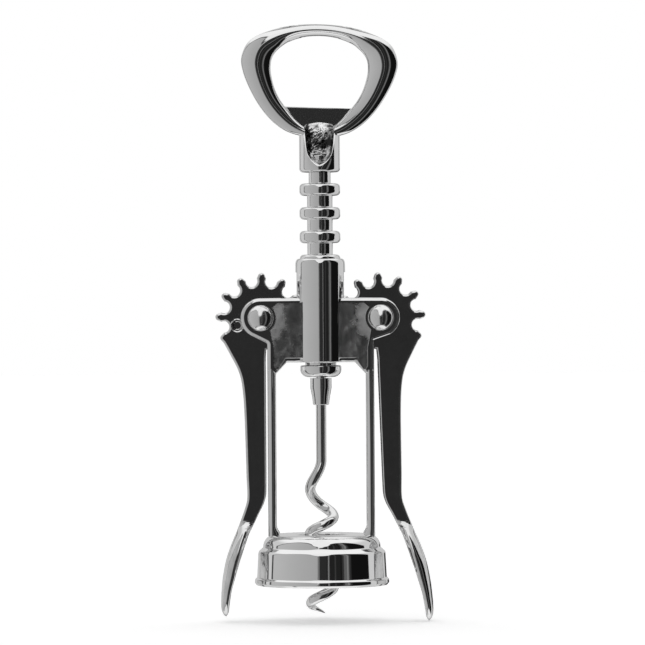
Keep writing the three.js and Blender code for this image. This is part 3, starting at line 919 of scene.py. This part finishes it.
def rack_spindle():
    """A round stem with rings that the levers' teeth run in, and a socket for the worm's wire."""
    corners = [(1.8, STEM_BOTTOM), (STEM_RADIUS, STEM_BOTTOM, 0.2)]
    for i in reversed(range(RING_COUNT)):
        z = TOP_RING_Z - i * RACK_PITCH
        above = NECK_RADIUS if i == 0 else STEM_RADIUS
        corners += [
            (STEM_RADIUS, z - RING_HALF_HEIGHT, 0.25),
            (RING_RADIUS, z - RING_HALF_HEIGHT, RING_CORNER),
            (RING_RADIUS, z + RING_HALF_HEIGHT, RING_CORNER),
            (above, z + RING_HALF_HEIGHT, 0.25),
        ]
    corners += [(NECK_RADIUS, RACK_TOP, 0.2), (0, RACK_TOP)]
    socket = [(0, 72.3), (1.8, 72.3), (1.8, STEM_BOTTOM)]
    piece = turned("rack_spindle_piece", rounded(corners, 6) + socket, 144, 30)
    finish_piece(piece, "spindle", "handle_chrome", RACK_CHROME, "rack_spindle")


def stop_collar():
    """A bowl-shaped ring with a flat rim, under the barrel."""
    bowl = [(3.6 + 2.33 * math.sin(a), 62.3 - 2.1 * math.cos(a))
            for a in [math.pi / 2 * k / 14 for k in range(15)]]
    profile = [(1.8, 60.2)] + bowl + rounded([
        bowl[-1], (5.93, 63.6, 0.4), (4.5, 63.6, 0.1), (4.5, 64.7, 0.1), (1.8, 64.7), (1.8, 60.2),
    ], 6)[1:]
    piece = turned("stop_collar_piece", profile, 144, 30)
    finish_piece(piece, "stop_collar", "handle_chrome", POLISHED, "stop_collar")


def worm_ferrule():
    """A sleeve round the top of the worm's wire, narrower towards its lower end."""
    profile = rounded([
        (1.5, 52.1), (2.3, 52.1, 0.4), (2.55, 54.2, 1.5), (3.1, 57.0, 3.0), (3.1, 59.9, 0.1),
        (1.5, 59.9), (1.5, 52.1),
    ], 8)
    piece = turned("worm_ferrule_piece", profile, 96, 30)
    finish_piece(piece, "spindle", "handle_chrome", POLISHED, "worm_ferrule")


def handle_pin():
    """The pin that holds the handle's block on the spindle, seen only from the back."""
    profile = rounded([(0, -5.7), (1.0, -5.7, 0.25), (1.0, 1.9, 0.1), (0, 1.9)], 5)
    piece = turned("handle_pin_piece", profile, 48, 35, centre=(0, PIN_Z), along="front")
    finish_piece(piece, "spindle", "pin_steel", PIN_STEEL, "handle_pin")


# ---------- worm

def worm_point(z):
    """The wire's centre line: straight on the axis, then a right-handed helix."""
    spread = smoothstep(0, HELIX_LEAD_IN, HELIX_TOP - z)
    slowest = 1.35 * math.pi
    turn = 2 * math.pi * (z - RIGHT_TURN_Z) / WORM_PITCH
    angle = turn if turn < 0 else slowest * (1 - math.exp(-turn / slowest))
    radius = WORM_RADIUS * spread
    return (radius * math.cos(angle), radius * math.sin(angle), z)


def worm():
    """The wire: coarse steps down its straight part, fine ones round the helix, and a point."""
    fine_from = 37
    path = [worm_point(WORM_TOP - (WORM_TOP - fine_from) * k / 20) for k in range(20)]
    path += [worm_point(fine_from - (fine_from - WORM_BOTTOM) * k / 420) for k in range(421)]
    lengths = [0]
    for a, b in zip(path, path[1:]):
        lengths.append(lengths[-1] + (Vector(a) - Vector(b)).length)
    total = lengths[-1]

    def radius_at(t):
        left = total - lengths[round(t * (len(path) - 1))]
        return WIRE_RADIUS * min(1, 0.08 + 0.92 * (left / POINT_LENGTH) ** 0.75)

    piece = swept("worm_piece", path, radius_at, 32)
    finish_piece(piece, "spindle", "worm_steel", WIRE_STEEL, "worm")


# ---------- opener handle

# Right halves of the loop's outer and inner outlines, from the top to the bottom.
LOOP_OUTER = [
    (0, 162.5), (7.4, 162.0), (14.4, 160.3), (20.3, 157.2), (22.6, 152.6), (22.2, 148.4),
    (19.9, 143.0), (16.5, 137.6), (12.4, 133.4), (7.4, 130.7), (0, 129.6),
]
LOOP_INNER = [
    (0, 159.1), (5.2, 158.5), (10.0, 156.6), (13.3, 153.4), (14.1, 149.6), (13.2, 144.8),
    (11.6, 141.1), (9.4, 138.0), (7.1, 135.2), (4.9, 133.2), (2.6, 131.9), (0, 131.5),
]


def mirrored(half):
    """The closed outline whose right half runs from the top to the bottom."""
    return half + [(-x, z) for x, z in half[-2:0:-1]]


def reach(outline, angle):
    """How far an outline lies from the loop's centre at an angle."""
    ray = Vector((math.cos(angle), math.sin(angle)))
    across = Vector((-ray.y, ray.x))
    best = None
    for i, (x, z) in enumerate(outline):
        a = Vector((x, z - LOOP_CENTRE_Z))
        b = Vector((outline[i - 1][0], outline[i - 1][1] - LOOP_CENTRE_Z))
        side_a, side_b = a.dot(across), b.dot(across)
        if side_a * side_b <= 0 and side_a != side_b:
            t = side_a / (side_a - side_b)
            distance = a.lerp(b, t).dot(ray)
            if distance > 0:
                best = distance
    return best


# How far across the half section each slope of the face is reached, at the loop's sides and top.
SLOPES = [0, 4, 10, 18, 26, 36, 46, 51, 58, 64, 69, 73, 80, 90]
TOP_SPREAD = [(0, 0), (26, 0.13), (46, 0.36), (64, 0.6), (73, 0.94), (90, 1.0)]
SIDE_EDGE = 0.45


def domed_section(half, depth, thin):
    """(across, towards the front) points: a low dome at the sides, a steep gable at the top."""
    steep = math.radians(51)
    crown = (half - SIDE_EDGE * (1 - math.sin(steep))) / math.sin(steep)
    quarter = []
    for slope in SLOPES:
        angle = math.radians(slope)
        if angle <= steep:
            side = crown * math.sin(angle)
        else:
            side = crown * math.sin(steep) + SIDE_EDGE * (math.sin(angle) - math.sin(steep))
        top = half * interpolate(TOP_SPREAD, slope)
        across = side * (1 - thin) + top * thin
        if quarter:
            last_angle = math.radians(last_slope)
            drop = math.cos(last_angle) - math.cos(angle)
            bend = drop / (math.sin(angle) - math.sin(last_angle))
            front = quarter[-1][1] - (across - quarter[-1][0]) * bend
        else:
            front = depth
        quarter.append((across, max(front, 0.15)))
        last_slope = slope
    front = [(-x, y) for x, y in quarter[:0:-1]] + quarter
    return front + [(x, -y) for x, y in reversed(front)]


def loop_ring():
    """The loop that the hand turns, as a ring of sections round its centre."""
    outer = spline(mirrored(LOOP_OUTER), 12, closed=True)
    inner = spline(mirrored(LOOP_INNER), 12, closed=True)
    sections = []
    steps = 288
    for k in range(steps):
        angle = 2 * math.pi * (k + 0.5) / steps
        far = reach(outer, angle)
        near = reach(inner, angle)
        middle = (far + near) / 2
        half = (far - near) / 2
        thin = smoothstep(3.6, 1.9, half) * smoothstep(-0.2, 0.2, math.sin(angle))
        ring = []
        for across, front in domed_section(half, LOOP_DEPTH, thin):
            distance = middle + across
            ring.append((distance * math.cos(angle), -front, LOOP_CENTRE_Z + distance * math.sin(angle)))
        sections.append(ring)
    sections.append(sections[0])
    return loft("opener_handle_piece", sections, 50, cap=False)


# Height, half width, floor and roundness of the hollow in front of the web and the block.
HOLLOW = [
    (121.45, 0.4, -5.9, 0.9), (121.9, 1.6, -5.1, 0.85), (122.6, 2.5, -4.0, 0.75),
    (123.6, 3.15, -3.1, 0.6), (125.0, 3.7, -2.5, 0.45), (127.0, 4.05, -2.3, 0.38),
    (129.0, 4.3, -2.3, 0.38), (131.0, 4.65, -2.3, 0.38), (132.3, 5.2, -2.1, 0.4),
    (133.4, 6.1, -1.6, 0.4), (134.6, 7.0, -1.16, 0.4),
]
# Height and floor of the flat facet that makes the hollow's rim.
RIM_FACET = [
    (121.0, -5.95), (121.4, -5.85), (122.0, -5.6), (123.0, -5.2), (124.5, -4.75), (126.5, -4.32),
    (129.0, -3.9), (131.0, -3.55), (132.5, -3.15), (134.5, -2.7),
]


def facet_cutter():
    """Cutter that leaves a flat facet on the block's front."""
    sections = []
    for z, floor_y in spline(RIM_FACET, 6):
        sections.append([(-6.5, -9, z), (6.5, -9, z), (6.5, floor_y, z), (-6.5, floor_y, z)])
    return paint(loft("facet", sections, 60), POLISHED)


def hollow_cutter():
    """Cutter for the hollow, with its rough cast skin, whose random near-black patches are painted shade
    that darkens the hollow.
    """
    sections = []
    for z, width, floor_y, roundness in spline(HOLLOW, 6):
        depth = floor_y + 9
        ring = []
        for k in range(96):
            turn = 2 * math.pi * k / 96
            c, s = math.cos(turn), math.sin(turn)
            x = math.copysign(abs(c) ** roundness, c) * width
            y = -9 + math.copysign(abs(s) ** roundness, s) * depth
            ring.append((x, y, z))
        sections.append(ring)
    return paint(loft("hollow", sections, 60), ROUGH_CAST_PAINTED_SHADE)


def web():
    """The flat wall below the loop, whose top edge is the opener's lip."""
    outline = [(-9.6, LIP_Z), (-5.2, 132.2), (5.2, 132.2), (9.6, LIP_Z)]
    return paint(slab("web", outline, WEB_FRONT, WEB_BACK, 0.25, 30, 3), WEB_CHROME)


def opener_handle():
    """Leaning loop and web with an upright block, less the hollow, the socket and the pin hole."""
    handle = paint(loop_ring(), POLISHED)
    lean = (
        Matrix.Translation((0, 0, LOOP_CENTRE_Z * MM))
        @ Matrix.Rotation(HANDLE_LEAN, 4, "Y")
        @ Matrix.Translation((0, 0, -LOOP_CENTRE_Z * MM))
    )
    handle.data.transform(lean)
    wall = web()
    wall.data.transform(lean)
    block = turned("block", rounded([
        (0, BLOCK_BOTTOM), (BLOCK_RADIUS, BLOCK_BOTTOM, 1.0), (BLOCK_RADIUS, 130.3, 1.5),
        (4.2, 133.4, 1.0), (0, 134.2),
    ], 10), 144)
    socket = turned("socket", [(0, 118), (3.5, 118), (3.5, 124.8), (0, 124.8)], 96)
    pin_hole = turned("pin_hole", [(0, -8), (1.3, -8), (1.3, 2.2), (0, 2.2)], 48,
                      centre=(0, PIN_Z), along="front")
    for tool in (block, socket, pin_hole):
        paint(tool, POLISHED)
    combine(block, [facet_cutter()], "DIFFERENCE")
    combine(handle, [wall, block], "UNION")
    combine(handle, [hollow_cutter(), socket, pin_hole], "DIFFERENCE")
    clean(handle.data)
    shade(handle.data, 38)
    finish_piece(handle, "spindle", "handle_chrome", None, "opener_handle")


# ---------- studio

# The panels' upper edges, which are arches over a centre, in degrees of height.
PANEL_TOP = 53
# Ends of the grey and the black panel, in degrees from straight in front, + to the right.
GREY_FROM, GREY_TO = -98, -8
BLACK_FROM, BLACK_TO = -8, 93
# Streaks on the black panel: from, to and brightness.
STREAKS = (
    (-9, -4, 0.18), (-4, 9, 0.026), (9, 34, 0.016), (11, 13, 0.25), (23, 25, 0.05),
    (36, 54, 0.03), (40, 50, 0.12), (46, 48, 0.25),
)


def below_arch(graph, degrees, height, centre, half, top, power):
    """1 under an arched upper edge that peaks over the centre."""
    aside = graph.math("DIVIDE", graph.math("SUBTRACT", degrees, centre), half)
    fall = graph.math("POWER", graph.math("ABSOLUTE", aside), power)
    edge = graph.math("MULTIPLY", graph.math("SUBTRACT", 1, fall), top)
    return graph.step(1.5, -1.5, graph.math("SUBTRACT", height, edge))


def surround(graph, x, y, degrees, height):
    """White above and below, light grey between, and a dark ring and a dark side behind."""
    behind = graph.math("MULTIPLY", graph.math("ARCCOSINE", y), 180 / math.pi)
    light = graph.over(0.66, graph.step(30, 50, height), 1.0)
    light = graph.over(light, graph.step(-50, -62, height), 0.95)
    light = graph.over(light, graph.band(behind, 36, 41, 1.0), 0.06)
    light = graph.over(light, graph.step(36, 30, behind), 0.6)
    dark_side = graph.math("MULTIPLY", graph.step(27, 25, behind), graph.step(-0.12, -0.08, x))
    dark_side = graph.math("MULTIPLY", dark_side, graph.step(1.5, -0.5, height))
    return graph.over(light, dark_side, 0.05)


def panels(graph, light, degrees, height):
    """The surround with a grey and a black panel over it, and a white gap between the two."""
    def panel(low, high, centre, half, top, power, bottom):
        mask = graph.math("MULTIPLY", graph.band(degrees, low, high, 0.8),
                          below_arch(graph, degrees, height, centre, half, top, power))
        return graph.math("MULTIPLY", mask, graph.step(*bottom, height))

    outline = panel(GREY_FROM - 4, GREY_TO, -53, 53, PANEL_TOP + 4, 2.5, (-68, -64))
    grey_mask = panel(GREY_FROM, GREY_TO, -53, 50, PANEL_TOP, 2.5, (-64, -58))
    black_mask = panel(BLACK_FROM, BLACK_TO, 44, 54, PANEL_TOP, 2.4, (-64, -58))
    across = graph.nodes.new("ShaderNodeMapRange")
    graph.feed(degrees, across.inputs["Value"])
    across.inputs["From Min"].default_value = GREY_FROM
    across.inputs["From Max"].default_value = GREY_TO
    across.inputs["To Min"].default_value = 0.53
    across.inputs["To Max"].default_value = 0.41
    black = 0.006
    for low, high, brightness in STREAKS:
        black = graph.over(black, graph.band(degrees, low, high, 1.0), brightness)
    light = graph.over(light, outline, 0.05)
    light = graph.over(light, grey_mask, across.outputs["Result"])
    light = graph.over(light, black_mask, black)

    aside = graph.math("DIVIDE", graph.math("ABSOLUTE", graph.math("ADD", degrees, 2)), 22)
    gap_edge = graph.math("ADD", graph.math("MULTIPLY", graph.math("POWER", aside, 2), 32), 13)
    above_edge = graph.math("SUBTRACT", height, gap_edge)
    line = graph.math("MULTIPLY", graph.step(-5, -3.5, above_edge), graph.step(-3, -5, degrees))
    light = graph.over(light, graph.math("MULTIPLY", line, grey_mask), 0.05)
    return graph.over(light, graph.step(-1.5, 1.5, above_edge), 0.95)


def world():
    """The studio that the metal mirrors, with plain white where the camera sees past the object."""
    studio = bpy.data.worlds.new("studio")
    bpy.context.scene.world = studio
    studio.use_nodes = True
    nodes = studio.node_tree.nodes
    links = studio.node_tree.links
    nodes.clear()
    graph = NodeMath(nodes, links)

    split = nodes.new("ShaderNodeSeparateXYZ")
    links.new(nodes.new("ShaderNodeTexCoord").outputs["Generated"], split.inputs[0])
    x, y, z = split.outputs
    azimuth = graph.math("ARCTAN2", x, graph.math("MULTIPLY", y, -1))
    degrees = graph.math("MULTIPLY", azimuth, 180 / math.pi)
    height = graph.math("MULTIPLY", graph.math("ARCSINE", z), 180 / math.pi)
    light = panels(graph, surround(graph, x, y, degrees, height), degrees, height)

    mirrored_light = nodes.new("ShaderNodeBackground")
    links.new(light, mirrored_light.inputs["Color"])
    plain = nodes.new("ShaderNodeBackground")
    plain.inputs["Color"].default_value = (1, 1, 1, 1)
    path = nodes.new("ShaderNodeLightPath")
    mix = nodes.new("ShaderNodeMixShader")
    links.new(path.outputs["Is Camera Ray"], mix.inputs["Fac"])
    links.new(mirrored_light.outputs[0], mix.inputs[1])
    links.new(plain.outputs[0], mix.inputs[2])
    output = nodes.new("ShaderNodeOutputWorld")
    links.new(mix.outputs[0], output.inputs["Surface"])


def floor():
    """Pale floor just under the lowest tips."""
    bottom = CAD_BOX[0][2] - 0.0016
    mesh = bpy.data.meshes.new("floor")
    size = 6.0
    corners = [(-size, -size), (size, -size), (size, size), (-size, size)]
    mesh.from_pydata([(x, y, bottom) for x, y in corners], [], [[0, 1, 2, 3]])
    plane = bpy.data.objects.new("floor", mesh)
    bpy.context.scene.collection.objects.link(plane)
    material = bpy.data.materials.new("floor")
    material.use_nodes = True
    shader = material.node_tree.nodes["Principled BSDF"]
    shader.inputs["Base Color"].default_value = (0.95, 0.95, 0.95, 1)
    shader.inputs["Roughness"].default_value = 0.9
    shader.inputs["Emission Color"].default_value = (1, 1, 1, 1)
    shader.inputs["Emission Strength"].default_value = 0.35
    mesh.materials.append(material)
    plane.visible_glossy = False


def camera():
    """At the height of the object's middle, nearly level, looking along +Y."""
    distance = 1.25
    frame_width = 0.18705
    data = bpy.data.cameras.new("camera")
    data.sensor_width = 36
    data.lens = 36 * distance / frame_width
    view = bpy.data.objects.new("camera", data)
    bpy.context.scene.collection.objects.link(view)
    roll = math.radians(0.34)
    view.matrix_world = (
        Matrix.Translation((0.00058, -distance, 0.076))
        @ Matrix.Rotation(math.radians(90), 4, "X")
        @ Matrix.Rotation(-roll, 4, "Z")
    )
    bpy.context.scene.camera = view


camera()
world()
floor()
bpy.context.scene.view_settings.view_transform = "Standard"

frame_casting()
bell()
bell_liner()
rivets()
lever("left_lever", -1, tilt=0, stretch=0.98, casting_mark=True)
lever("right_lever", 1, tilt=RIGHT_LEVER_TILT, stretch=1.045, casting_mark=False)
rack_spindle()
stop_collar()
worm_ferrule()
handle_pin()
worm()
opener_handle()
